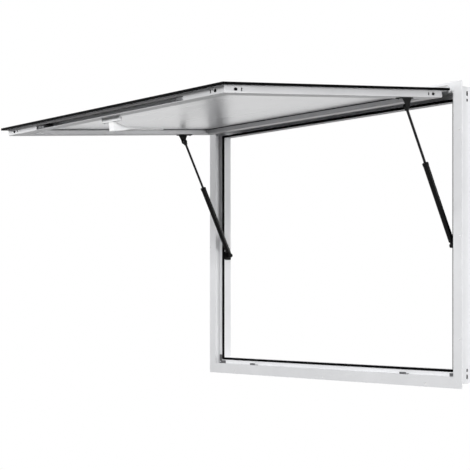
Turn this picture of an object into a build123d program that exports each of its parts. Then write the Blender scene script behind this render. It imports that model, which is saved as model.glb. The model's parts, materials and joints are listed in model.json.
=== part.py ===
from build123d import *
import os
from math import asin, cos, degrees, radians, sin

# Concession window: a mitred aluminium frame with an awning hatch held open by two gas struts.
# X runs to the right as seen from outside, Y runs inwards through the wall, and Z is up.
# The origin is at the middle of the bottom edge, on the back face of the mounting flange.

# Frame, with insets measured from the flange's outer edge and depths from its front face
frame_width = 1219.2
frame_height = 914.4
frame_depth = 54.0
frame_wall = 2.0
flange_thickness = 2.0
flange_overhang = 14.5
flange_face = 34.2
recess_depth = 22.0
recess_width = 20.3
screw_inset = 8.0
screw_hole = 5.0
screw_corner = 146.0
key_depth = 40.0
key_width = 6.5
key_slot_length = 13.5
key_slot_corner = 34.0
key_hole_length = 8.0
key_hole_corner = 53.5
gasket_width = 7.0
gasket_height = 4.2
gasket_fold = 0.5
gasket_fold_depth = 2.8

# Awning panel, with insets measured from its outer edge and depths from its outer face
open_angle = 85.1
panel_side_margin = 30.0
panel_bottom_margin = 29.0
skin_thickness = 1.5
liner_depth = 6.0
rim_inset = 17.0
rim_width = 45.0
rim_depth = 22.0
rim_wall = 2.0
rim_corner_radius = 1.5
rim_hole_length = 12.0
rim_hole_height = 8.0
rim_hole_corner = 55.0
rim_slot_width = 4.0
rim_slot_height = 9.0
rim_slot_corner = 75.0
rim_mark_depth = 11.8
trim_lip = 1.5
trim_grip = 4.5
trim_depth = 2.5
trim_cover = 7.0
trim_proud = 4.8
trim_chamfer = 1.5

# Continuous hinge: a bead on the frame inside a curled leaf on the awning
hinge_forward = 13.0
hinge_below_top = 17.4
hinge_to_edge = 7.0
hinge_to_skin = 8.0
bead_radius = 4.0
bead_neck = 3.0
bead_clearance = 0.4
rail_foot_below = 3.0
rail_foot_above = 4.5
rail_foot_thickness = 2.0
leaf_thickness = 2.5
leaf_gap = 0.5

# Gas struts and their brackets
strut_inset = 68.6
strut_low_depth = 38.0
strut_low_height = 428.0
strut_top_reach = 151.5
strut_top_depth = 47.0
tube_diameter = 18.0
tube_wall = 1.5
tube_length = 257.0
tube_base = 6.0
tube_chamfer = 2.0
gland_length = 18.0
rod_diameter = 8.0
rod_clearance = 0.3
piston_length = 8.0
piston_gap = 2.0
eye_diameter = 14.0
top_eye_width = 10.0
eye_neck_width = 9.0
eye_neck_length = 12.0
eye_bore_depth = 7.0
stud_diameter = 8.0
stud_clearance = 0.3
eye_side_gap = 0.6
web_thickness = 2.5
bracket_foot_length = 60.0
bracket_foot_middle = 153.0
bracket_foot_width = 22.0
bracket_foot_thickness = 3.0
bracket_foot_corner = 4.0
bracket_web_length = 41.0
bracket_web_curve = 60.0
bracket_end_radius = 8.0
low_plate_front = 25.2
low_plate_width = 28.0
low_plate_height = 31.0
low_plate_thickness = 3.0
low_plate_corner = 3.0
low_boss_diameter = 20.0
low_boss_height = 1.2
low_stud_diameter = 12.0

# Two-point latch on the free edge
latch_inset = 46.0
case_front = 38.0
case_width = 94.0
case_length = 9.0
case_height = 15.0
case_corner = 2.0
case_chamfer = 1.0
case_hub_diameter = 16.0
handle_gap = 0.7
root_forward = 9.0
root_length = 14.0
root_height = 25.5
root_half_width = 10.5
root_corner = 4.0
arm_reach = 224.0
arm_bend_reach = 110.0
arm_bend_drop = 14.6
arm_thickness = 6.2
arm_tip_drop = 18.0
arm_tip_thickness = 3.8
arm_tip_radius = 8.0
bolt_end_inset = 213.6
bolt_width = 34.0
bolt_length = 40.0
bolt_thickness = 8.0
bolt_depth = 13.5
bolt_recess = 1.0
bolt_slot_clearance = 2.0
bolt_corner = 5.0
keeper_width = 26.0
keeper_thickness = 1.5
keeper_lip = 2.5
keeper_front = 0.8
keeper_length = 16.0
keeper_height = 6.8

# Places that follow from the sizes above
opening_inset = flange_face + recess_width
panel_width = frame_width - 2 * panel_side_margin
panel_length = frame_height - hinge_below_top - hinge_to_edge - panel_bottom_margin
droop = radians(90 - open_angle)
panel_out = Vector(0, -cos(droop), -sin(droop))
panel_in = Vector(0, sin(droop), -cos(droop))
hinge_axis = Vector(0, -flange_thickness - hinge_forward, frame_height - hinge_below_top)
panel_edge = hinge_axis + panel_out * hinge_to_edge + panel_in * hinge_to_skin
across = Vector(1, 0, 0)
frame_face = Plane((0, -flange_thickness, frame_height / 2), x_dir=across, z_dir=(0, 1, 0))
panel = Plane(panel_edge, x_dir=across, z_dir=panel_in)
panel_face = Plane(panel.from_local_coords((0, panel_length / 2, 0)), x_dir=across, z_dir=panel_in)
strut_x = frame_width / 2 - strut_inset
strut_low = Vector(0, strut_low_depth - flange_thickness, strut_low_height)
strut_top = panel.from_local_coords((0, strut_top_reach, strut_top_depth))
strut_length = (strut_top - strut_low).length
strut_line = (strut_top - strut_low).normalized()
tube_mouth = eye_neck_length + tube_length
bolt_spacing = panel_width - 2 * bolt_end_inset
bolt_groove_height = bolt_thickness + 2 * bolt_slot_clearance
hands = {"left": -1, "right": 1}
pieces = {}


def bar_plane(face, width, height, side):
    """Section plane of a side bar: x runs inwards from the edge, y runs into the depth."""
    place, inward = {
        "top": ((0, -height / 2, 0), face.y_dir),
        "bottom": ((0, height / 2, 0), face.y_dir * -1),
        "left": ((-width / 2, 0, 0), face.x_dir),
        "right": ((width / 2, 0, 0), face.x_dir * -1),
    }[side]
    return Plane(face.from_local_coords(place), x_dir=inward, z_dir=inward.cross(face.z_dir))


def mitred_bar(section, plane, length, mitres=(1, -1)):
    """A section run along one side, with its ends cut on the corner mitres."""
    with BuildPart() as bar:
        with BuildSketch(plane):
            add(section.sketch)
        extrude(amount=length / 2, both=True)
        for end in mitres:
            corner = plane.from_local_coords((0, 0, end * length / 2))
            split(bisect_by=Plane(corner, z_dir=plane.x_dir + plane.z_dir * end), keep=Keep.BOTTOM)
    return bar.part


# Frame bars and the gasket in their recess
with BuildSketch() as frame_section:
    with BuildLine():
        Polyline(
            (0, 0),
            (flange_face, 0),
            (flange_face, recess_depth),
            (opening_inset, recess_depth),
            (opening_inset, frame_depth),
            (flange_overhang, frame_depth),
            (flange_overhang, flange_thickness),
            (0, flange_thickness),
            close=True,
        )
    make_face()
    with BuildLine():
        Polyline(
            (flange_overhang + frame_wall, flange_thickness),
            (flange_face - frame_wall, flange_thickness),
            (flange_face - frame_wall, recess_depth + frame_wall),
            (opening_inset - frame_wall, recess_depth + frame_wall),
            (opening_inset - frame_wall, frame_depth - frame_wall),
            (flange_overhang + frame_wall, frame_depth - frame_wall),
            close=True,
        )
    make_face(mode=Mode.SUBTRACT)

with BuildSketch() as gasket_section:
    with BuildLine():
        ThreePointArc(
            (opening_inset - gasket_width, recess_depth),
            (opening_inset + (gasket_fold - gasket_width) / 2, recess_depth - gasket_height),
            (opening_inset + gasket_fold, recess_depth),
        )
        Polyline(
            (opening_inset + gasket_fold, recess_depth),
            (opening_inset + gasket_fold, recess_depth + gasket_fold_depth),
            (opening_inset, recess_depth + gasket_fold_depth),
            (opening_inset, recess_depth),
            (opening_inset - gasket_width, recess_depth),
        )
    make_face()

frame_sides = {"top": "head", "bottom": "sill", "left": "left_jamb", "right": "right_jamb"}
for side, side_name in frame_sides.items():
    bar_length = frame_width if side in ("top", "bottom") else frame_height
    bar = bar_plane(frame_face, frame_width, frame_height, side)
    screw_origin = bar.from_local_coords((screw_inset, 0, 0))
    screw_plane = Plane(screw_origin, x_dir=bar.z_dir, z_dir=bar.y_dir * -1)
    key_origin = bar.from_local_coords((flange_overhang, key_depth, 0))
    key_plane = Plane(key_origin, x_dir=bar.z_dir, z_dir=bar.x_dir * -1)
    with BuildPart() as frame_bar:
        add(mitred_bar(frame_section, bar, bar_length))
        with BuildSketch(screw_plane):
            with GridLocations(bar_length / 2 - screw_corner, 1, 3, 1):
                Circle(screw_hole / 2)
        extrude(amount=-flange_thickness, mode=Mode.SUBTRACT)
        with BuildSketch(key_plane):
            with GridLocations(bar_length - 2 * key_slot_corner, 1, 2, 1):
                Rectangle(key_slot_length, key_width)
            with GridLocations(bar_length - 2 * key_hole_corner, 1, 2, 1):
                Rectangle(key_hole_length, key_width)
        extrude(amount=-frame_wall, mode=Mode.SUBTRACT)
    pieces[f"frame_{side_name}"] = frame_bar.part
    pieces[f"{side_name}_gasket"] = mitred_bar(gasket_section, bar, bar_length)

# Hinge rail on the head, with the bead that the awning turns on
hinge_length = panel_width - 2 * rim_inset
rail_plane = Plane(hinge_axis, x_dir=(0, 1, 0), z_dir=across)
with BuildPart() as hinge_rail:
    with BuildSketch(rail_plane):
        Circle(bead_radius)
        with Locations((hinge_forward / 2, 0)):
            Rectangle(hinge_forward, bead_neck)
        with Locations((hinge_forward - rail_foot_thickness / 2, (rail_foot_above - rail_foot_below) / 2)):
            Rectangle(rail_foot_thickness, rail_foot_above + rail_foot_below)
    extrude(amount=hinge_length / 2, both=True)
pieces["hinge_rail"] = hinge_rail.part

# Awning skin, its inner lining and the four rim bars
with BuildPart() as awning_skin:
    with BuildSketch(panel):
        with Locations((0, (panel_length - trim_lip) / 2)):
            Rectangle(panel_width - 2 * trim_lip, panel_length - trim_lip)
    extrude(amount=skin_thickness)
pieces["awning_skin"] = awning_skin.part

rim_inner = rim_inset + rim_width
with BuildPart() as awning_liner:
    with BuildSketch(panel_face.offset(skin_thickness)):
        Rectangle(panel_width - 2 * rim_inner, panel_length - 2 * rim_inner)
    extrude(amount=liner_depth - skin_thickness)
pieces["awning_liner"] = awning_liner.part

rim_height = rim_depth - skin_thickness
rim_middle = (rim_inset + rim_width / 2, skin_thickness + rim_height / 2)
with BuildSketch() as rim_section:
    with Locations(rim_middle):
        Rectangle(rim_width, rim_height)
    fillet(rim_section.vertices().group_by(Axis.Y)[-1], rim_corner_radius)
    with Locations(rim_middle):
        Rectangle(rim_width - 2 * rim_wall, rim_height - 2 * rim_wall, mode=Mode.SUBTRACT)

rim_sides = {"top": "hinge", "bottom": "free", "left": "left", "right": "right"}
for side, side_name in rim_sides.items():
    rim_length = panel_width if side in ("top", "bottom") else panel_length
    rim = bar_plane(panel_face, panel_width, panel_length, side)
    mark_origin = rim.from_local_coords((rim_inset, rim_mark_depth, 0))
    mark_plane = Plane(mark_origin, x_dir=rim.z_dir, z_dir=rim.x_dir * -1)
    bolt_origin = rim.from_local_coords((rim_inset, bolt_depth, 0))
    bolt_plane = Plane(bolt_origin, x_dir=rim.z_dir, z_dir=rim.x_dir * -1)
    with BuildPart() as rim_bar:
        add(mitred_bar(rim_section, rim, rim_length))
        with BuildSketch(mark_plane):
            with GridLocations(rim_length - 2 * rim_hole_corner, 1, 2, 1):
                SlotOverall(rim_hole_length, rim_hole_height)
            with GridLocations(rim_length - 2 * rim_slot_corner, 1, 2, 1):
                Rectangle(rim_slot_width, rim_slot_height)
        extrude(amount=-rim_wall, mode=Mode.SUBTRACT)
        if side == "bottom":
            with BuildSketch(bolt_plane):
                Rectangle(bolt_spacing + bolt_width + 2 * bolt_slot_clearance, bolt_groove_height)
            extrude(amount=-rim_wall, mode=Mode.SUBTRACT)
    pieces[f"awning_{side_name}_bar"] = rim_bar.part

# Black edge trim round the three loose edges
with BuildSketch() as trim_section:
    with BuildLine():
        Polyline(
            (0, trim_chamfer - trim_proud),
            (trim_chamfer, -trim_proud),
            (trim_cover - trim_chamfer, -trim_proud),
            (trim_cover, trim_chamfer - trim_proud),
            (trim_cover, 0),
            (trim_lip, 0),
            (trim_lip, skin_thickness),
            (trim_grip, skin_thickness),
            (trim_grip, trim_depth),
            (0, trim_depth),
            close=True,
        )
    make_face()

trim_mitres = {"bottom": (1, -1), "left": (-1,), "right": (1,)}
for side, mitres in trim_mitres.items():
    trim_length = panel_width if side == "bottom" else panel_length
    edge = bar_plane(panel_face, panel_width, panel_length, side)
    pieces[f"{rim_sides[side]}_edge_trim"] = mitred_bar(trim_section, edge, trim_length, mitres)

# Hinge leaf on the awning: a flat foot under the skin, a leg past its edge and the open curl
curl_inner = bead_radius + bead_clearance
curl_outer = curl_inner + leaf_thickness
curl_half_neck = degrees(asin((bead_neck / 2 + leaf_gap) / curl_inner))
curl_centre = (-hinge_to_edge, -hinge_to_skin)
leaf_outer = leaf_gap + leaf_thickness
leg_length = hinge_to_skin + skin_thickness + leaf_thickness
with BuildPart() as hinge_leaf:
    with BuildSketch(bar_plane(panel_face, panel_width, panel_length, "top")):
        with Locations(curl_centre):
            Circle(curl_outer)
            Circle(curl_inner, mode=Mode.SUBTRACT)
        with BuildLine():
            cut = CenterArc(
                curl_centre, 2 * curl_outer, 90 - curl_half_neck, open_angle + 2 * curl_half_neck
            )
            Line(cut @ 1, curl_centre)
            Line(curl_centre, cut @ 0)
        make_face(mode=Mode.SUBTRACT)
        with Locations((-leaf_gap - leaf_thickness / 2, skin_thickness + leaf_thickness - leg_length / 2)):
            Rectangle(leaf_thickness, leg_length)
        with Locations(((rim_inset - leaf_outer) / 2, skin_thickness + leaf_thickness / 2)):
            Rectangle(rim_inset + leaf_outer, leaf_thickness)
    extrude(amount=hinge_length / 2, both=True)
pieces["hinge_leaf"] = hinge_leaf.part


def strut_eye(place, direction, hand, width):
    """End fitting of a strut: a cross barrel, bored from the bracket side, on a square neck."""
    side_face = Plane(place + across * (hand * width / 2), x_dir=direction, z_dir=across * hand)
    with BuildPart() as eye:
        with BuildSketch(side_face):
            Circle(eye_diameter / 2)
        extrude(amount=-width)
        with BuildSketch(Plane(place, x_dir=across, z_dir=direction)):
            Rectangle(eye_neck_width, eye_neck_width)
        extrude(amount=eye_neck_length)
        with BuildSketch(side_face):
            Circle(stud_diameter / 2 + stud_clearance)
        extrude(amount=-eye_bore_depth, mode=Mode.SUBTRACT)
    return eye.part


# Struts with their brackets, left and right
web_outer = strut_x + top_eye_width / 2 + eye_side_gap + web_thickness
reveal_x = frame_width / 2 - opening_inset
for hand_name, hand in hands.items():
    low_pivot = strut_low + across * (hand * strut_x)
    top_pivot = strut_top + across * (hand * strut_x)
    tube_end = Plane(low_pivot + strut_line * eye_neck_length, z_dir=strut_line)
    with BuildPart() as tube:
        with BuildSketch(tube_end):
            Circle(tube_diameter / 2)
        extrude(amount=tube_length)
        chamfer(tube.edges().filter_by(GeomType.CIRCLE).sort_by(Axis.Z)[0], tube_chamfer)
        with BuildSketch(tube_end.offset(tube_base)):
            Circle(tube_diameter / 2 - tube_wall)
        extrude(amount=tube_length - tube_base - gland_length, mode=Mode.SUBTRACT)
        with BuildSketch(tube_end.offset(tube_length)):
            Circle(rod_diameter / 2 + rod_clearance)
        extrude(amount=-gland_length, mode=Mode.SUBTRACT)
    pieces[f"{hand_name}_strut_tube"] = tube.part
    pieces[f"{hand_name}_strut_low_eye"] = strut_eye(low_pivot, strut_line, hand, tube_diameter)

    rod_end = Plane(top_pivot - strut_line * eye_neck_length, z_dir=strut_line * -1)
    rod_length = strut_length - eye_neck_length - tube_mouth + gland_length + piston_gap
    with BuildPart() as rod:
        with BuildSketch(rod_end):
            Circle(rod_diameter / 2)
        extrude(amount=rod_length)
        with BuildSketch(rod_end.offset(rod_length)):
            Circle(tube_diameter / 2 - tube_wall - rod_clearance)
        extrude(amount=piston_length)
    pieces[f"{hand_name}_strut_rod"] = rod.part
    pieces[f"{hand_name}_strut_top_eye"] = strut_eye(top_pivot, strut_line * -1, hand, top_eye_width)

    web_plane = Plane(
        panel.from_local_coords((hand * web_outer, 0, 0)), x_dir=panel_out, z_dir=across
    )
    web_left = (bracket_foot_middle - bracket_web_length / 2, rim_depth)
    web_right = (bracket_foot_middle + bracket_web_length / 2, rim_depth)
    end_left = (strut_top_reach - bracket_end_radius, strut_top_depth)
    end_right = (strut_top_reach + bracket_end_radius, strut_top_depth)
    foot_x = hand * (web_outer - bracket_foot_width / 2)
    foot_plane = Plane(
        panel.from_local_coords((foot_x, bracket_foot_middle, rim_depth)), x_dir=across, z_dir=panel_in
    )
    with BuildPart() as top_bracket:
        with BuildSketch(web_plane):
            with BuildLine():
                Line(web_left, web_right)
                RadiusArc(web_right, end_right, bracket_web_curve)
                ThreePointArc(end_right, (strut_top_reach, strut_top_depth + bracket_end_radius), end_left)
                RadiusArc(end_left, web_left, bracket_web_curve)
            make_face()
            with Locations((strut_top_reach, strut_top_depth)):
                Circle(stud_diameter / 2, mode=Mode.SUBTRACT)
        extrude(amount=-hand * web_thickness)
        with BuildSketch(foot_plane) as foot_outline:
            Rectangle(bracket_foot_width, bracket_foot_length)
            chamfer(foot_outline.vertices(), bracket_foot_corner)
        extrude(amount=bracket_foot_thickness)
    pieces[f"{hand_name}_top_bracket"] = top_bracket.part

    stud_plane = Plane(
        top_pivot + across * (hand * (web_outer - strut_x)), x_dir=panel_out, z_dir=across * -hand
    )
    with BuildPart() as top_stud:
        with BuildSketch(stud_plane):
            Circle(stud_diameter / 2)
        extrude(amount=web_thickness + eye_side_gap + eye_bore_depth - stud_clearance)
    pieces[f"{hand_name}_top_stud"] = top_stud.part

    low_seat_place = low_pivot + across * (hand * (reveal_x - strut_x))
    low_plane = Plane(low_seat_place, x_dir=(0, 1, 0), z_dir=across * -hand)
    low_reach = reveal_x - strut_x - tube_diameter / 2 - eye_side_gap
    with BuildPart() as low_bracket:
        with BuildSketch(low_plane) as plate_outline:
            with Locations((low_plate_front + low_plate_width / 2 - strut_low_depth, 0)):
                Rectangle(low_plate_width, low_plate_height)
            chamfer(plate_outline.vertices(), low_plate_corner)
        extrude(amount=low_plate_thickness)
        with BuildSketch(low_plane.offset(low_plate_thickness)):
            Circle(low_boss_diameter / 2)
        extrude(amount=low_boss_height)
        with BuildSketch(low_plane):
            Circle(low_stud_diameter / 2)
        extrude(amount=low_plate_thickness + low_boss_height, mode=Mode.SUBTRACT)
    pieces[f"{hand_name}_low_bracket"] = low_bracket.part
    with BuildPart() as low_stud:
        with BuildSketch(low_plane):
            Circle(low_stud_diameter / 2)
        extrude(amount=low_reach)
    pieces[f"{hand_name}_low_stud"] = low_stud.part

# Latch case under the free bar, the lever handle that turns on it, and the two bolts it drives
free_edge = bar_plane(panel_face, panel_width, panel_length, "bottom")
case_middle = case_front + case_length / 2
case_floor = Plane(
    free_edge.from_local_coords((case_middle, rim_depth, 0)), x_dir=across, z_dir=panel_in
)
with BuildPart() as latch_case:
    with BuildSketch(case_floor):
        RectangleRounded(case_width, case_length, case_corner)
        with Locations((0, case_middle - latch_inset)):
            Circle(case_hub_diameter / 2)
    extrude(amount=case_height)
    chamfer(latch_case.faces().sort_by(Axis(case_floor.origin, panel_in))[-1].edges(), case_chamfer)
pieces["latch_case"] = latch_case.part

root_front = latch_inset - root_forward
handle_top = rim_depth + case_height + handle_gap
arm_bend_top = handle_top + arm_bend_drop
arm_tip_top = handle_top + arm_tip_drop
handle_plan = Plane(
    free_edge.from_local_coords((0, handle_top, 0)), x_dir=free_edge.x_dir, z_dir=free_edge.y_dir
)
with BuildPart() as latch_handle:
    with BuildSketch(free_edge):
        with BuildLine():
            arm_top = Line((arm_reach, arm_tip_top), (arm_bend_reach, arm_bend_top))
            TangentArc(arm_top @ 1, (root_front + root_length, handle_top), tangent=arm_top % 1)
            Polyline(
                (root_front + root_length, handle_top),
                (root_front, handle_top),
                (root_front, handle_top + root_height),
                (root_front + root_length, handle_top + root_height),
                (arm_bend_reach, arm_bend_top + arm_thickness),
                (arm_reach, arm_tip_top + arm_tip_thickness),
                arm_top @ 0,
            )
        make_face()
    extrude(amount=root_half_width, both=True)
    with BuildSketch(handle_plan):
        with Locations((root_front + root_corner, 0)):
            with GridLocations(1, 2 * (root_half_width - root_corner), 1, 2):
                Circle(root_corner)
        with Locations((arm_reach - arm_tip_radius, 0)):
            Circle(arm_tip_radius)
        make_hull()
    extrude(amount=root_height, mode=Mode.INTERSECT)
pieces["latch_handle"] = latch_handle.part

bolt_floor = free_edge.y_dir * (bolt_depth - bolt_thickness / 2)
recess_wall = bar_plane(frame_face, frame_width, frame_height, "bottom")
for hand_name, hand in hands.items():
    bolt_x = across * (hand * bolt_spacing / 2)
    bolt_tip = free_edge.from_local_coords((rim_inset + bolt_recess, 0, 0)) + bolt_x + bolt_floor
    with BuildPart() as latch_bolt:
        with BuildSketch(Plane(bolt_tip, x_dir=across, z_dir=free_edge.y_dir)) as bolt_outline:
            with Locations((0, -bolt_length / 2)):
                Rectangle(bolt_width, bolt_length)
            chamfer(bolt_outline.vertices().group_by(Axis.Y)[-1], bolt_corner)
        extrude(amount=bolt_thickness)
    pieces[f"{hand_name}_latch_bolt"] = latch_bolt.part

    keeper_plane = Plane(
        recess_wall.from_local_coords((flange_face, keeper_front, 0)) + bolt_x,
        x_dir=recess_wall.x_dir,
        z_dir=recess_wall.z_dir,
    )
    with BuildPart() as keeper:
        with BuildSketch(keeper_plane):
            with BuildLine():
                Polyline(
                    (0, 0),
                    (keeper_height, 0),
                    (keeper_height, keeper_lip),
                    (keeper_thickness, keeper_lip),
                    (keeper_thickness, keeper_length),
                    (0, keeper_length),
                    close=True,
                )
            make_face()
        extrude(amount=keeper_width / 2, both=True)
    pieces[f"{hand_name}_keeper"] = keeper.part

os.makedirs("parts", exist_ok=True)
for name, piece in pieces.items():
    piece.label = name
    export_step(piece, f"parts/{name}.step")
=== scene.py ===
import json
from math import asin, cos, pi, radians, sin

import bmesh
import bpy
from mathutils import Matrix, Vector


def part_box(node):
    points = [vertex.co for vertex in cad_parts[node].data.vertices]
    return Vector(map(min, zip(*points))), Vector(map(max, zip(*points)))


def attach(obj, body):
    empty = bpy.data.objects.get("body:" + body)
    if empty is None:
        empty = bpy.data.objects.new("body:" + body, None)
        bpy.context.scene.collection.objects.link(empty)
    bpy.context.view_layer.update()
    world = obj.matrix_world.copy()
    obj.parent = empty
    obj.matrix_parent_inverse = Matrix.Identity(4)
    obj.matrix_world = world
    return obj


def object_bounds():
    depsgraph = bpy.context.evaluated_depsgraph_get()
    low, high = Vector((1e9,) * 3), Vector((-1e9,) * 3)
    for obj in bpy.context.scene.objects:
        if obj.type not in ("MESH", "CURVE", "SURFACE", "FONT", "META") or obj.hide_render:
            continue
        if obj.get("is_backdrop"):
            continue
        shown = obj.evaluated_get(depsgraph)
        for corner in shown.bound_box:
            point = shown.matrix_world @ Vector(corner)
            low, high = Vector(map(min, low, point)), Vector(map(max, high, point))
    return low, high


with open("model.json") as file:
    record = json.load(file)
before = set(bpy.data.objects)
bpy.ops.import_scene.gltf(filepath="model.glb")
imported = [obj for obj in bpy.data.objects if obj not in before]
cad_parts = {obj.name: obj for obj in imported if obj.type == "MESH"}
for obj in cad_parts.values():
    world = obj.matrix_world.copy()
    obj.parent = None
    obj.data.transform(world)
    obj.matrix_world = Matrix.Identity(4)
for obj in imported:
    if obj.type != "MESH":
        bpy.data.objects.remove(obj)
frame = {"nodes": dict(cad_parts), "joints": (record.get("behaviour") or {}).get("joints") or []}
cad_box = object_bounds()
nodes = frame["nodes"]
joints = {joint["name"]: joint for joint in frame["joints"]}

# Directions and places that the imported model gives
ACROSS = Vector((1, 0, 0))
UPWARDS = Vector((0, 0, 1))
OUTSIDE = Vector((0, -1, 0))
PANEL_IN = Vector(joints["handle_turn"]["axis"])
PANEL_OUT = Vector(joints["left_bolt_slide"]["axis"])
PANEL_DROOP = asin(-PANEL_OUT.z)
LATCH_PIVOT = Vector(joints["handle_turn"]["pos_m"])
HANDS = {"left": -1, "right": 1}

# Screw sizes and seats
SCREW_RADIUS = 0.0027
SCREW_HEIGHT = 0.0019
FLUSH_HEIGHT = 0.0006
FOOT_BELOW_PIVOT = 0.022
FOOT_MIDDLE_OUT = 0.0015
FOOT_SCREW_SPREAD = 0.024
FOOT_SCREW_INSET = 0.004
PLATE_THICKNESS = 0.003
PLATE_SCREW_SPREAD = 0.0112
CASE_HEIGHT = 0.015
CASE_MIDDLE_OUT = 0.0035
CASE_SCREW_SPREAD = 0.038
KEEPER_LEAF = 0.0015
KEEPER_SCREW_SPREAD = 0.008
RECESS_DEPTH = 0.022
RECESS_SCREW_INSET = 0.0392

# Grey rubber pads in the lower corners of the recess, which also stand in for the shade there as painted
# shade, measured from the flange's outer edge
PAD_OUTER = 0.0345
PAD_INNER = 0.0440
PAD_LEG = 0.031
PAD_HEIGHT = 0.003

# Keys that join the frame's corners, seen through the slots in its side walls; their black is also painted
# shade for the hollow bars behind the slots
KEY_DEPTH = 0.040
KEY_HALF_WIDTH = 0.005
KEY_OUTER = 0.0170
KEY_INNER = 0.0210
KEY_REACH = 0.061

# Black sealing bead round the lining, also painted shadow for the line where the lining meets the rim,
# measured from the hinge line
BEAD_RADIUS = 0.0013
BEAD_START = 0.070
BEAD_END = 0.805
BEAD_DEPTH = 0.0148

# Gland cap at the mouth of each strut tube
CAP_RADIUS = 0.0097
CAP_SLEEVE = 0.0075
CAP_TOP = 0.0016
CAP_BORE = 0.0045
CAP_ROUNDING = 0.0007
TUBE_RADIUS = 0.00905
LATHE_STEPS = 48


def add_node(tree, kind, inputs=None, **settings):
    """Adds one node. Inputs are given by name or number, and a socket as the value is linked."""
    node = tree.nodes.new(kind)
    for name, value in settings.items():
        setattr(node, name, value)
    for key, value in (inputs or {}).items():
        if isinstance(value, bpy.types.NodeSocket):
            tree.links.new(value, node.inputs[key])
        else:
            node.inputs[key].default_value = value
    return node


def new_finish(name):
    """An empty finish: the material, its tree and its shader."""
    material = bpy.data.materials.new(name)
    material.use_nodes = True
    return material, material.node_tree, material.node_tree.nodes["Principled BSDF"]


def object_places(tree, scale=(1, 1, 1), tilt=0.0):
    """Object coordinates, turned back by the awning's droop and then stretched."""
    place = add_node(tree, "ShaderNodeTexCoord").outputs["Object"]
    if tilt:
        turn = {"Vector": place, "Angle": tilt}
        place = add_node(tree, "ShaderNodeVectorRotate", turn, rotation_type="X_AXIS").outputs["Vector"]
    return add_node(tree, "ShaderNodeMapping", {"Vector": place, "Scale": scale}).outputs["Vector"]


def noise(tree, place, scale, detail=3.0, roughness=0.55):
    inputs = {"Vector": place, "Scale": scale, "Detail": detail, "Roughness": roughness}
    return add_node(tree, "ShaderNodeTexNoise", inputs).outputs["Fac"]


def spread(tree, value, low, high, from_low=0.3, from_high=0.7):
    """A pattern's middle range laid out between two values."""
    inputs = {"Value": value, "From Min": from_low, "From Max": from_high, "To Min": low, "To Max": high}
    return add_node(tree, "ShaderNodeMapRange", inputs).outputs["Result"]


def shades(tree, factor, dark, light):
    """A colour between two shades."""
    mix = add_node(tree, "ShaderNodeMix", data_type="RGBA")
    tree.links.new(factor, mix.inputs[0])
    mix.inputs[6].default_value = (*dark, 1)
    mix.inputs[7].default_value = (*light, 1)
    return mix.outputs[2]


def blended(tree, factor, under, over):
    """One colour over another where the factor says so."""
    mix = add_node(tree, "ShaderNodeMix", data_type="RGBA")
    tree.links.new(factor, mix.inputs[0])
    tree.links.new(under, mix.inputs[6])
    mix.inputs[7].default_value = (*over, 1)
    return mix.outputs[2]


def rounded_edges(tree, radius):
    """The normal with its edges eased, and a mask of those edges."""
    bevel = add_node(tree, "ShaderNodeBevel", {"Radius": radius}, samples=6)
    flat = add_node(tree, "ShaderNodeNewGeometry")
    facing = add_node(
        tree, "ShaderNodeVectorMath",
        {0: bevel.outputs["Normal"], 1: flat.outputs["Normal"]}, operation="DOT_PRODUCT",
    )
    mask = spread(tree, facing.outputs["Value"], 1.0, 0.0, 0.80, 0.995)
    return bevel.outputs["Normal"], mask


def bumped(tree, height, normal, strength, distance):
    inputs = {"Height": height, "Normal": normal, "Strength": strength, "Distance": distance}
    return add_node(tree, "ShaderNodeBump", inputs).outputs["Normal"]


def scaled(colour, factor):
    return tuple(min(1.0, channel * factor) for channel in colour)


def extruded_aluminium(name, colour, along, tilt=0.0, metallic=0.04, dull=0.52, bright=0.42):
    """Satin anodised extrusion: die lines along the bar, a faint mottling and a painted highlight on the
    edges.
    """
    material, tree, shader = new_finish(name)
    stretch = [620.0, 620.0, 620.0]
    stretch["xyz".index(along)] = 1.1
    lines = noise(tree, object_places(tree, stretch, tilt), 1.0, 4.0)
    mottling = noise(tree, object_places(tree), 7.0, 5.0, 0.6)
    normal, edges = rounded_edges(tree, 0.0007)
    tone = shades(tree, spread(tree, mottling, 0.0, 1.0), scaled(colour, 0.95), scaled(colour, 1.03))
    # every edge is blended to a lighter colour: a painted highlight
    tree.links.new(blended(tree, edges, tone, scaled(colour, 1.12)), shader.inputs["Base Color"])
    tree.links.new(spread(tree, lines, dull, bright), shader.inputs["Roughness"])
    tree.links.new(bumped(tree, lines, normal, 0.12, 0.0003), shader.inputs["Normal"])
    shader.inputs["Metallic"].default_value = metallic
    shader.inputs["Specular IOR Level"].default_value = 0.25
    return material


def satin_sheet(name, colour, tilt, metallic, dull, bright, specular):
    """Rolled sheet: long soft rolling marks, slight waviness and a fine tooth."""
    material, tree, shader = new_finish(name)
    marks = noise(tree, object_places(tree, (2.5, 140.0, 140.0), tilt), 1.0, 4.0)
    waves = noise(tree, object_places(tree), 3.2, 2.0)
    tooth = noise(tree, object_places(tree), 900.0, 2.0)
    tone = shades(tree, spread(tree, waves, 0.0, 1.0), scaled(colour, 0.96), scaled(colour, 1.02))
    tree.links.new(tone, shader.inputs["Base Color"])
    tree.links.new(spread(tree, marks, dull, bright), shader.inputs["Roughness"])
    normal, _ = rounded_edges(tree, 0.0005)
    wavy = bumped(tree, waves, normal, 0.04, 0.004)
    tree.links.new(bumped(tree, tooth, wavy, 0.05, 0.0001), shader.inputs["Normal"])
    shader.inputs["Metallic"].default_value = metallic
    shader.inputs["Specular IOR Level"].default_value = specular
    return material


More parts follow.
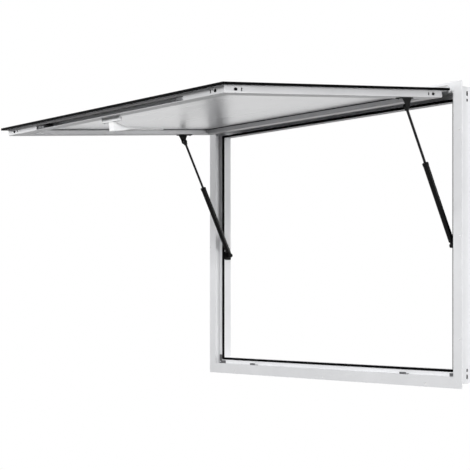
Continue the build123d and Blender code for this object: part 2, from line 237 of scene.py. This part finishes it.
def black_rubber(name, colour, dull, bright, pore_scale, pore_depth, specular):
    """Extruded or foamed rubber: pores, dust-pale patches and a low sheen."""
    material, tree, shader = new_finish(name)
    place = object_places(tree)
    pores = noise(tree, place, pore_scale, 3.0, 0.7)
    patches = noise(tree, place, 14.0, 4.0)
    tone = shades(tree, spread(tree, patches, 0.0, 1.0), colour, scaled(colour, 1.7))
    tree.links.new(tone, shader.inputs["Base Color"])
    tree.links.new(spread(tree, pores, dull, bright), shader.inputs["Roughness"])
    normal, _ = rounded_edges(tree, 0.0005)
    tree.links.new(bumped(tree, pores, normal, 0.35, pore_depth), shader.inputs["Normal"])
    shader.inputs["Specular IOR Level"].default_value = specular
    return material


def coated_metal(name, colour, worn, dull, bright, peel_scale=520.0, peel=0.16, specular=0.5):
    """Powder coat or enamel: a fine orange peel, uneven gloss and edges rubbed paler."""
    material, tree, shader = new_finish(name)
    place = object_places(tree)
    skin = noise(tree, place, peel_scale, 2.0)
    patches = noise(tree, place, 22.0, 4.0)
    normal, edges = rounded_edges(tree, 0.0006)
    tone = shades(tree, spread(tree, patches, 0.0, 1.0), scaled(colour, 0.92), scaled(colour, 1.06))
    rubbing = {0: edges, 1: spread(tree, patches, 0.1, 0.7)}
    rubbed = add_node(tree, "ShaderNodeMath", rubbing, operation="MULTIPLY").outputs["Value"]
    tree.links.new(blended(tree, rubbed, tone, worn), shader.inputs["Base Color"])
    tree.links.new(spread(tree, patches, dull, bright), shader.inputs["Roughness"])
    tree.links.new(bumped(tree, skin, normal, peel, 0.0002), shader.inputs["Normal"])
    shader.inputs["Specular IOR Level"].default_value = specular
    return material


def plated_steel(name, colour, dull, bright):
    """Plated or blackened steel: fine turning lines, a cloudy plating and a painted highlight on the edges.
    """
    material, tree, shader = new_finish(name)
    place = object_places(tree)
    clouds = noise(tree, place, 60.0, 4.0, 0.6)
    lines = noise(tree, object_places(tree, (900.0, 900.0, 900.0)), 1.0, 3.0)
    normal, edges = rounded_edges(tree, 0.0004)
    tone = shades(tree, spread(tree, clouds, 0.0, 1.0), scaled(colour, 0.85), scaled(colour, 1.1))
    # every edge is blended to a lighter colour: a painted highlight
    tree.links.new(blended(tree, edges, tone, scaled(colour, 1.4)), shader.inputs["Base Color"])
    tree.links.new(spread(tree, clouds, dull, bright), shader.inputs["Roughness"])
    tree.links.new(bumped(tree, lines, normal, 0.06, 0.0001), shader.inputs["Normal"])
    shader.inputs["Metallic"].default_value = 1.0
    return material


ALUMINIUM = (0.77, 0.775, 0.79)
RIM = (0.47, 0.472, 0.48)
SKIN = (0.66, 0.665, 0.68)
LINING = (0.56, 0.562, 0.57)
RUBBER = (0.0018, 0.0018, 0.0020)
PAD_GREY_AND_CORNER_SHADE = (0.10, 0.10, 0.104)
BLACK_COAT = (0.0025, 0.0025, 0.0027)

frame_across = extruded_aluminium("frame_aluminium_across", ALUMINIUM, "x")
frame_upright = extruded_aluminium("frame_aluminium_upright", ALUMINIUM, "z")
rim_across = extruded_aluminium("rim_aluminium_across", RIM, "x", -PANEL_DROOP, 0.42)
rim_outwards = extruded_aluminium("rim_aluminium_outwards", RIM, "y", -PANEL_DROOP, 0.42)
skin_sheet = satin_sheet("skin_aluminium", SKIN, -PANEL_DROOP, 0.10, 0.60, 0.50, 0.15)
lining_sheet = satin_sheet("lining_board", LINING, -PANEL_DROOP, 0.9, 0.31, 0.27, 0.5)
gasket_foam = black_rubber("gasket_foam", RUBBER, 0.95, 0.75, 700.0, 0.0004, 0.02)
# grey rubber of the corner pads, also painted shade for the recess corners
pad_rubber_and_corner_shade = black_rubber("pad_rubber_and_corner_shade", PAD_GREY_AND_CORNER_SHADE, 0.90, 0.70, 900.0, 0.0002, 0.04)
trim_rubber = black_rubber("trim_rubber", RUBBER, 0.70, 0.50, 1400.0, 0.0001, 0.01)
bracket_coat = coated_metal("bracket_powder_coat", BLACK_COAT, (0.02, 0.02, 0.02), 0.50, 0.36, specular=0.08)
tube_coat = coated_metal("tube_gloss_coat", BLACK_COAT, (0.01, 0.01, 0.01), 0.16, 0.11, 300.0, 0.03, 0.09)
cap_plastic = coated_metal(
    "gland_cap_plastic", BLACK_COAT, (0.02, 0.02, 0.02), 0.60, 0.45, 900.0, specular=0.08
)
rod_steel = plated_steel("rod_blackened_steel", (0.014, 0.014, 0.015), 0.34, 0.24)
bolt_steel = plated_steel("bolt_plated_steel", (0.15, 0.152, 0.158), 0.66, 0.55)
# the keepers' zinc is given a dark colour: painted shade for the shade they sit in
keeper_steel_painted_shade = plated_steel("keeper_zinc_painted_shade", (0.13, 0.132, 0.138), 0.62, 0.48)
zinc_steel = plated_steel("zinc_plated_steel", (0.52, 0.53, 0.55), 0.42, 0.28)
black_screw = plated_steel("blackened_screw_steel", (0.012, 0.012, 0.013), 0.55, 0.42)
handle_enamel = coated_metal("handle_enamel", (0.84, 0.845, 0.85), (0.93, 0.93, 0.93), 0.42, 0.32)
case_enamel = coated_metal("latch_case_enamel", (0.82, 0.825, 0.83), (0.92, 0.92, 0.92), 0.45, 0.36)


def finish_of(name):
    """The finish that a CAD node wears."""
    by_name = {
        "hinge_rail": frame_across, "hinge_leaf": rim_across, "awning_skin": skin_sheet,
        "awning_liner": lining_sheet, "latch_case": case_enamel, "latch_handle": handle_enamel,
        "frame_head": frame_across, "frame_sill": frame_across,
        "awning_hinge_bar": rim_across, "awning_free_bar": rim_across,
        "awning_left_bar": rim_outwards, "awning_right_bar": rim_outwards,
    }
    by_ending = {
        "_jamb": frame_upright, "_gasket": gasket_foam, "_trim": trim_rubber, "_tube": tube_coat,
        "_rod": rod_steel, "_low_stud": zinc_steel, "_bolt": bolt_steel, "_eye": bracket_coat,
        "_bracket": bracket_coat, "_top_stud": bracket_coat, "_keeper": keeper_steel_painted_shade,
    }
    return by_name.get(name) or next(by_ending[ending] for ending in by_ending if name.endswith(ending))


for name, node in nodes.items():
    node.data.materials.clear()
    node.data.materials.append(finish_of(name))


def screw_tree():
    """Domed screw heads with a cross recess, one on each point, facing the way the point says."""
    tree = bpy.data.node_groups.new("screw_heads", "GeometryNodeTree")
    tree.interface.new_socket("Places", in_out="INPUT", socket_type="NodeSocketGeometry")
    for label in ("Head Radius", "Head Height"):
        tree.interface.new_socket(label, in_out="INPUT", socket_type="NodeSocketFloat")
    tree.interface.new_socket("Finish", in_out="INPUT", socket_type="NodeSocketMaterial")
    tree.interface.new_socket("Screws", in_out="OUTPUT", socket_type="NodeSocketGeometry")
    given = tree.nodes.new("NodeGroupInput").outputs
    radius, height = given["Head Radius"], given["Head Height"]

    def sum_of(kind, first, second):
        return add_node(tree, "ShaderNodeMath", {0: first, 1: second}, operation=kind).outputs["Value"]

    blank = add_node(
        tree, "GeometryNodeMeshCylinder",
        {"Vertices": 20, "Side Segments": 5, "Radius": radius, "Depth": height},
    )
    position = add_node(tree, "GeometryNodeInputPosition").outputs[0]
    axes = add_node(tree, "ShaderNodeSeparateXYZ", {0: position})
    rise = sum_of("ADD", sum_of("DIVIDE", axes.outputs["Z"], height), 0.5)
    rise_squared = sum_of("MULTIPLY", rise, rise)
    narrowing = sum_of("SQRT", sum_of("SUBTRACT", 1.0, sum_of("MULTIPLY", rise_squared, 0.6)), 0.0)
    domed_place = add_node(tree, "ShaderNodeCombineXYZ", {
        "X": sum_of("MULTIPLY", axes.outputs["X"], narrowing),
        "Y": sum_of("MULTIPLY", axes.outputs["Y"], narrowing),
        "Z": sum_of("MULTIPLY", rise, height),
    })
    dome = add_node(tree, "GeometryNodeSetPosition", {
        "Geometry": blank.outputs["Mesh"], "Position": domed_place.outputs[0],
    })
    recess = add_node(tree, "GeometryNodeMeshBoolean", {"Mesh 1": dome.outputs[0]}, operation="DIFFERENCE")
    arm_long, arm_thin = sum_of("MULTIPLY", radius, 1.1), sum_of("MULTIPLY", radius, 0.24)
    for width, length in ((arm_long, arm_thin), (arm_thin, arm_long)):
        size = add_node(tree, "ShaderNodeCombineXYZ", {"X": width, "Y": length, "Z": height})
        arm = add_node(tree, "GeometryNodeMeshCube", {"Size": size.outputs[0]})
        lift = add_node(tree, "ShaderNodeCombineXYZ", {"Z": height})
        raised = add_node(tree, "GeometryNodeTransform", {
            "Geometry": arm.outputs["Mesh"], "Translation": lift.outputs[0],
        })
        tree.links.new(raised.outputs[0], recess.inputs["Mesh 2"])
    facing = add_node(
        tree, "GeometryNodeInputNamedAttribute", {"Name": "facing"}, data_type="FLOAT_VECTOR"
    ).outputs["Attribute"]
    turn = add_node(tree, "FunctionNodeAlignRotationToVector", {"Vector": facing}, axis="Z")
    heads = add_node(tree, "GeometryNodeInstanceOnPoints", {
        "Points": given["Places"], "Instance": recess.outputs["Mesh"], "Rotation": turn.outputs[0],
    })
    solid = add_node(tree, "GeometryNodeRealizeInstances", {"Geometry": heads.outputs[0]})
    coloured = add_node(tree, "GeometryNodeSetMaterial", {
        "Geometry": solid.outputs[0], "Material": given["Finish"],
    })
    add_node(tree, "NodeGroupOutput", {"Screws": coloured.outputs[0]})
    return tree


def grown(name, guide_mesh, tree, sizes):
    """What a node tree grows on a guide mesh, kept as one plain mesh."""
    guide = bpy.data.objects.new(name + "_guide", guide_mesh)
    bpy.context.scene.collection.objects.link(guide)
    modifier = guide.modifiers.new("growth", "NODES")
    modifier.node_group = tree
    for item in tree.interface.items_tree:
        if item.in_out == "INPUT" and item.name in sizes:
            modifier[item.identifier] = sizes[item.name]
    mesh = bpy.data.meshes.new_from_object(guide.evaluated_get(bpy.context.evaluated_depsgraph_get()))
    mesh.name = name
    bpy.data.objects.remove(guide)
    piece = bpy.data.objects.new(name, mesh)
    bpy.context.scene.collection.objects.link(piece)
    return piece


def fixed(piece, body):
    """Fixes a piece to the body it moves with."""
    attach(piece, body)


def screws(name, body, finish, seats, height=SCREW_HEIGHT):
    """Screw heads: each seat is a place and the way its head faces."""
    guide_mesh = bpy.data.meshes.new(name + "_seats")
    guide_mesh.from_pydata([place for place, _ in seats], [], [])
    facing = guide_mesh.attributes.new("facing", "FLOAT_VECTOR", "POINT")
    facing.data.foreach_set("vector", [axis for _, way in seats for axis in way])
    sizes = {"Head Radius": SCREW_RADIUS, "Head Height": height, "Finish": finish}
    fixed(grown(name, guide_mesh, SCREW_TREE, sizes), body)


SCREW_TREE = screw_tree()


def bead_tree():
    """A round bead swept along the edges of a wire."""
    tree = bpy.data.node_groups.new("sealing_bead", "GeometryNodeTree")
    tree.interface.new_socket("Path", in_out="INPUT", socket_type="NodeSocketGeometry")
    tree.interface.new_socket("Bead Radius", in_out="INPUT", socket_type="NodeSocketFloat")
    tree.interface.new_socket("Finish", in_out="INPUT", socket_type="NodeSocketMaterial")
    tree.interface.new_socket("Bead", in_out="OUTPUT", socket_type="NodeSocketGeometry")
    given = tree.nodes.new("NodeGroupInput").outputs
    path = add_node(tree, "GeometryNodeMeshToCurve", {"Mesh": given["Path"]})
    section = add_node(tree, "GeometryNodeCurvePrimitiveCircle", {
        "Resolution": 10, "Radius": given["Bead Radius"],
    })
    swept = add_node(tree, "GeometryNodeCurveToMesh", {
        "Curve": path.outputs["Curve"], "Profile Curve": section.outputs["Curve"],
    })
    solid = add_node(tree, "GeometryNodeRealizeInstances", {"Geometry": swept.outputs["Mesh"]})
    coloured = add_node(tree, "GeometryNodeSetMaterial", {
        "Geometry": solid.outputs[0], "Material": given["Finish"],
    })
    add_node(tree, "NodeGroupOutput", {"Bead": coloured.outputs[0]})
    return tree

# Black bead that seals the lining to the rim; its black is also the painted contact shadow along that joint
bead_mesh = bpy.data.meshes.new("lining_bead_path")
lining_low, lining_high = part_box("awning_liner")
hinge_line = Vector(joints["awning_hinge"]["pos_m"]) + PANEL_IN * BEAD_DEPTH
bead_corners = [
    hinge_line + ACROSS * side + PANEL_OUT * reach
    for side, reach in (
        (lining_low.x + BEAD_RADIUS, BEAD_START), (lining_high.x - BEAD_RADIUS, BEAD_START),
        (lining_high.x - BEAD_RADIUS, BEAD_END), (lining_low.x + BEAD_RADIUS, BEAD_END),
    )
]
bead_mesh.from_pydata(bead_corners, [(0, 1), (1, 2), (2, 3), (3, 0)], [])
bead_sizes = {"Bead Radius": BEAD_RADIUS, "Finish": trim_rubber}
fixed(grown("lining_bead_and_contact_shadow", bead_mesh, bead_tree(), bead_sizes), "awning")


def corner_angles(name, outline, front, back, corners, finish):
    """Flat angle pieces in corners of the frame: an outline of insets, kept between two depths."""
    angles = bmesh.new()
    for hand, edge, upward in corners:
        sides = [
            [angles.verts.new((hand * (frame_high.x - x), depth, edge + upward * z)) for x, z in outline]
            for depth in (back, front)
        ]
        for side in sides:
            angles.faces.new(side)
        for step in range(len(outline)):
            after = (step + 1) % len(outline)
            angles.faces.new((sides[0][step], sides[0][after], sides[1][after], sides[1][step]))
    bmesh.ops.recalc_face_normals(angles, faces=angles.faces)
    data = bpy.data.meshes.new(name)
    angles.to_mesh(data)
    angles.free()
    data.materials.append(finish)
    piece = bpy.data.objects.new(name, data)
    bpy.context.scene.collection.objects.link(piece)
    fixed(piece, "frame")


def angle_outline(outer, inner, reach):
    """The outline of an angle piece: its two insets and how far its legs reach from the edge."""
    return [(outer, outer), (reach, outer), (reach, inner), (inner, inner), (inner, reach), (outer, reach)]


frame_low, frame_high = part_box("frame_sill")
frame_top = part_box("frame_head")[1].z
lower_corners = [(hand, frame_low.z, 1) for hand in HANDS.values()]
upper_corners = [(hand, frame_top, -1) for hand in HANDS.values()]

# Grey rubber pads in the lower corners of the recess, round the seal's corner; their grey is also painted
# shade for those corners
pad_back = frame_low.y + RECESS_DEPTH
pad_front = pad_back - PAD_HEIGHT
pad_outline = angle_outline(PAD_OUTER, PAD_INNER, PAD_OUTER + PAD_LEG)
corner_angles("corner_pads_as_corner_shade", pad_outline, pad_front, pad_back, lower_corners, pad_rubber_and_corner_shade)

# Black corner keys inside the frame, behind the slots of its side walls; their black also stands in for the
# shade inside the hollow bars, as painted shade
key_middle = frame_low.y + KEY_DEPTH
key_outline = angle_outline(KEY_OUTER, KEY_INNER, KEY_REACH)
key_corners = lower_corners + upper_corners
corner_angles(
    "corner_keys_as_slot_shade", key_outline, key_middle - KEY_HALF_WIDTH, key_middle + KEY_HALF_WIDTH,
    key_corners, trim_rubber,
)

# Screws in the frame: strut plates, keepers and the corner pads
plate_seats, keeper_seats, recess_seats = [], [], []
for hand_name, hand in HANDS.items():
    low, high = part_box(hand_name + "_low_bracket")
    plate_x = (low.x if hand < 0 else high.x) - hand * PLATE_THICKNESS
    middle = (low + high) / 2
    for step_y in (-PLATE_SCREW_SPREAD, PLATE_SCREW_SPREAD):
        for step_z in (-PLATE_SCREW_SPREAD, PLATE_SCREW_SPREAD):
            plate_seats.append((Vector((plate_x, middle.y + step_y, middle.z + step_z)), ACROSS * -hand))
    low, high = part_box(hand_name + "_keeper")
    middle = (low + high) / 2
    for step_x in (-KEEPER_SCREW_SPREAD, KEEPER_SCREW_SPREAD):
        keeper_seats.append((Vector((middle.x + step_x, middle.y, low.z + KEEPER_LEAF)), UPWARDS))
    seat_x = hand * (frame_high.x - RECESS_SCREW_INSET)
    seat_z = frame_low.z + RECESS_SCREW_INSET
    recess_seats.append((Vector((seat_x, pad_front, seat_z)), OUTSIDE))
screws("strut_plate_screws", "frame", black_screw, plate_seats, FLUSH_HEIGHT)
screws("keeper_screws", "frame", zinc_steel, keeper_seats, FLUSH_HEIGHT)
screws("recess_corner_screws", "frame", zinc_steel, recess_seats)

# Screws in the awning: strut bracket feet and the latch case
foot_seats, case_seats = [], []
for hand_name, hand in HANDS.items():
    pivot = Vector(joints[hand_name + "_rod_pivot"]["pos_m"])
    foot = pivot - PANEL_IN * FOOT_BELOW_PIVOT + PANEL_OUT * FOOT_MIDDLE_OUT
    foot += ACROSS * (-hand * FOOT_SCREW_INSET)
    for step in (-FOOT_SCREW_SPREAD, FOOT_SCREW_SPREAD):
        foot_seats.append((foot + PANEL_OUT * step, PANEL_IN))
    case_face = LATCH_PIVOT + PANEL_IN * CASE_HEIGHT + PANEL_OUT * CASE_MIDDLE_OUT
    case_seats.append((case_face + ACROSS * (hand * CASE_SCREW_SPREAD), PANEL_IN))
screws("bracket_foot_screws", "awning", black_screw, foot_seats)
screws("latch_case_screws", "awning", zinc_steel, case_seats)


def lathe(name, profile, place, direction):
    """A closed ring: a profile of radius and height turned about a line."""
    mesh = bmesh.new()
    side = direction.orthogonal().normalized()
    other = direction.cross(side)
    rings = []
    for step in range(LATHE_STEPS):
        angle = 2 * pi * step / LATHE_STEPS
        outward = side * cos(angle) + other * sin(angle)
        corners = [place + outward * radius + direction * height for radius, height in profile]
        rings.append([mesh.verts.new(corner) for corner in corners])
    for step, ring in enumerate(rings):
        following = rings[(step + 1) % LATHE_STEPS]
        for corner in range(len(profile)):
            after = (corner + 1) % len(profile)
            mesh.faces.new((ring[corner], following[corner], following[after], ring[after]))
    bmesh.ops.recalc_face_normals(mesh, faces=mesh.faces)
    data = bpy.data.meshes.new(name)
    mesh.to_mesh(data)
    mesh.free()
    piece = bpy.data.objects.new(name, data)
    bpy.context.scene.collection.objects.link(piece)
    return piece


CAP_PROFILE = [
    (TUBE_RADIUS, -CAP_SLEEVE), (CAP_RADIUS - CAP_ROUNDING / 2, -CAP_SLEEVE),
    (CAP_RADIUS, -CAP_SLEEVE + CAP_ROUNDING), (CAP_RADIUS, CAP_TOP - 2 * CAP_ROUNDING),
    (CAP_RADIUS - CAP_ROUNDING / 2, CAP_TOP - CAP_ROUNDING / 2), (CAP_RADIUS - 2 * CAP_ROUNDING, CAP_TOP),
    (CAP_BORE + CAP_ROUNDING, CAP_TOP), (CAP_BORE, CAP_TOP - CAP_ROUNDING), (CAP_BORE, CAP_ROUNDING / 4),
    (TUBE_RADIUS, CAP_ROUNDING / 4),
]
TUBE_LENGTH = 0.257
NECK_LENGTH = 0.012
for hand_name in HANDS:
    slide = joints[hand_name + "_tube_slide"]
    strut_line = Vector(slide["axis"]).normalized()
    low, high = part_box(hand_name + "_low_stud")
    low_pivot = (low + high) / 2
    top_pivot = Vector(joints[hand_name + "_rod_pivot"]["pos_m"])
    low_pivot.x = top_pivot.x
    mouth = low_pivot + strut_line * (NECK_LENGTH + TUBE_LENGTH)
    cap = lathe(hand_name + "_gland_cap", CAP_PROFILE, mouth, strut_line)
    cap.data.materials.append(cap_plastic)
    cap.data.shade_smooth()
    cap.data.set_sharp_from_angle(angle=radians(40))
    fixed(cap, hand_name + "_tube")


# Studio: a pale floor at serving height below the sill, soft boxes and a white backdrop
FLOOR_LEVEL = -0.85
FLOOR_RADIUS = 3.1
FLOOR_FADE = 2.0
SKY_LIGHT = 0.40
BOX_WIDTH = 1.2
BOX_HEIGHT = 1.0
LIGHT_TARGET = Vector((0, -0.1, 0.40))


def seen_directly(tree):
    """1 for rays that show the backdrop: straight from the camera, in a gloss or through glass."""
    path = add_node(tree, "ShaderNodeLightPath").outputs
    seen = path["Is Camera Ray"]
    for kind in ("Is Glossy Ray", "Is Transmission Ray"):
        either = add_node(tree, "ShaderNodeMath", {0: seen, 1: path[kind]}, operation="MAXIMUM")
        seen = either.outputs["Value"]
    return seen


def studio_world():
    world = bpy.data.worlds.new("studio_air")
    world.use_nodes = True
    tree = world.node_tree
    tree.nodes.clear()
    direction = add_node(tree, "ShaderNodeTexCoord").outputs["Generated"]
    upwards = add_node(tree, "ShaderNodeSeparateXYZ", {0: direction}).outputs["Z"]
    soft = spread(tree, upwards, 0.0, SKY_LIGHT, -0.15, 0.45)
    strength = add_node(tree, "ShaderNodeMix", {0: seen_directly(tree), 2: soft, 3: 1.0})
    sky = add_node(tree, "ShaderNodeBackground", {"Color": (1, 1, 1, 1), "Strength": strength.outputs[0]})
    add_node(tree, "ShaderNodeOutputWorld", {"Surface": sky.outputs[0]})
    bpy.context.scene.world = world


def studio_floor():
    mesh = bmesh.new()
    bmesh.ops.create_circle(mesh, cap_ends=True, segments=96, radius=FLOOR_RADIUS)
    bmesh.ops.translate(mesh, verts=mesh.verts, vec=(0, 0, FLOOR_LEVEL))
    data = bpy.data.meshes.new("studio_floor")
    mesh.to_mesh(data)
    mesh.free()
    floor = bpy.data.objects.new("studio_floor", data)
    bpy.context.scene.collection.objects.link(floor)
    material, tree, shader = new_finish("studio_floor_paper")
    shader.inputs["Roughness"].default_value = 0.9
    grain = noise(tree, object_places(tree), 60.0, 4.0)
    tree.links.new(shades(tree, grain, (0.86, 0.86, 0.86), (0.90, 0.90, 0.90)), shader.inputs["Base Color"])
    distance = add_node(
        tree, "ShaderNodeVectorMath", {0: object_places(tree, (1, 1, 0))}, operation="LENGTH"
    ).outputs["Value"]
    fade = spread(tree, distance, 0.0, 1.0, FLOOR_FADE, FLOOR_RADIUS)
    white = add_node(tree, "ShaderNodeEmission", {"Color": (1, 1, 1, 1), "Strength": 1.0})
    share = add_node(tree, "ShaderNodeMath", {0: fade, 1: seen_directly(tree)}, operation="MULTIPLY")
    ground = add_node(tree, "ShaderNodeMixShader", {
        0: share.outputs[0], 1: shader.outputs[0], 2: white.outputs[0],
    })
    tree.links.new(ground.outputs[0], tree.nodes["Material Output"].inputs["Surface"])
    data.materials.append(material)
    floor.visible_diffuse = False
    floor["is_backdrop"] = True


def soft_box(name, place, power):
    """A soft box aimed at the window."""
    lamp = bpy.data.lights.new(name, "AREA")
    lamp.shape = "RECTANGLE"
    lamp.size, lamp.size_y = BOX_WIDTH, BOX_HEIGHT
    lamp.energy = power
    box = bpy.data.objects.new(name, lamp)
    box.location = place
    box.rotation_euler = (LIGHT_TARGET - Vector(place)).to_track_quat("-Z", "Y").to_euler()
    box.visible_camera = False
    bpy.context.scene.collection.objects.link(box)


def photo_camera():
    """The camera of the photograph: level, with its picture shifted to frame the window."""
    lens = bpy.data.cameras.new("photo_camera")
    lens.sensor_width = 36.0
    lens.lens = 99.29
    lens.shift_x = -0.0335
    lens.shift_y = 0.1429
    camera = bpy.data.objects.new("photo_camera", lens)
    camera.location = (3.1728, -2.9233, 0.2572)
    camera.rotation_euler = (radians(90), 0, radians(50.517))
    bpy.context.scene.collection.objects.link(camera)
    bpy.context.scene.camera = camera


studio_world()
studio_floor()
soft_box("key_soft_box", (2.0, -4.2, 1.9), 172)
soft_box("left_soft_box", (-3.8, -2.0, 1.6), 58)
soft_box("right_soft_box", (4.6, 0.4, 1.2), 71)
soft_box("back_soft_box", (0.0, 4.0, 1.0), 48)
soft_box("low_back_soft_box", (3.6, 1.8, 0.0), 46)
photo_camera()
bpy.context.scene.view_settings.view_transform = "Standard"

boxes = {"cad": cad_box, "visual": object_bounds()}
{name: [list(corner) for corner in box] for name, box in boxes.items()}
